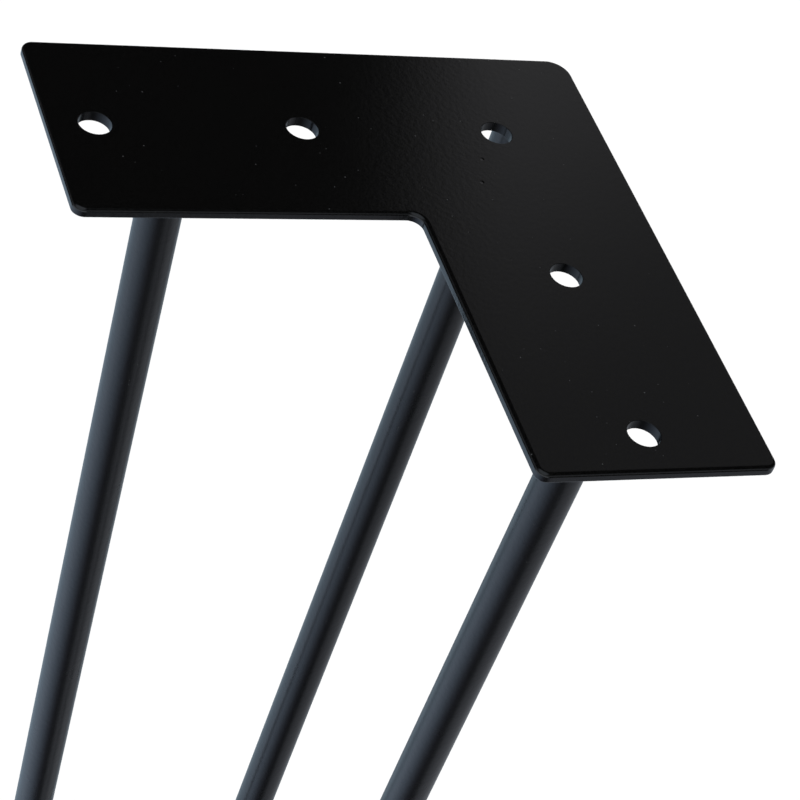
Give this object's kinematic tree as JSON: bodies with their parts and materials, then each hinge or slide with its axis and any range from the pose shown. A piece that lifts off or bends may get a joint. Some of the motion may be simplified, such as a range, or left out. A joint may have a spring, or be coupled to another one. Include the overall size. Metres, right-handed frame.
{
  "type": "hairpin table leg",
  "caption": "Black steel hairpin table leg: an L-shaped screw plate with a bent hairpin rod and a corner rod welded under it, meeting at one rounded foot.",
  "frame": {"origin": "axis of the corner screw hole at the top face of the mounting plate", "axes": "+Z out of the plate's top face, towards the table top; +X and +Y along the plate's two arms; the leg hangs down along -Z"},
  "size_m": [0.1317, 0.1317, 0.71],
  "materials": {
    "plate_coating": "satin black powder coat",
    "rod_coating": "satin black powder coat",
    "weld_coating": "satin black powder coat over a weld bead"
  },
  "bodies": {
    "root": {"top_plate": "plate_coating", "hairpin_rod": "rod_coating", "corner_rod": "rod_coating", "plate_welds": "weld_coating", "foot_weld": "weld_coating"}
  },
  "joints": []
}
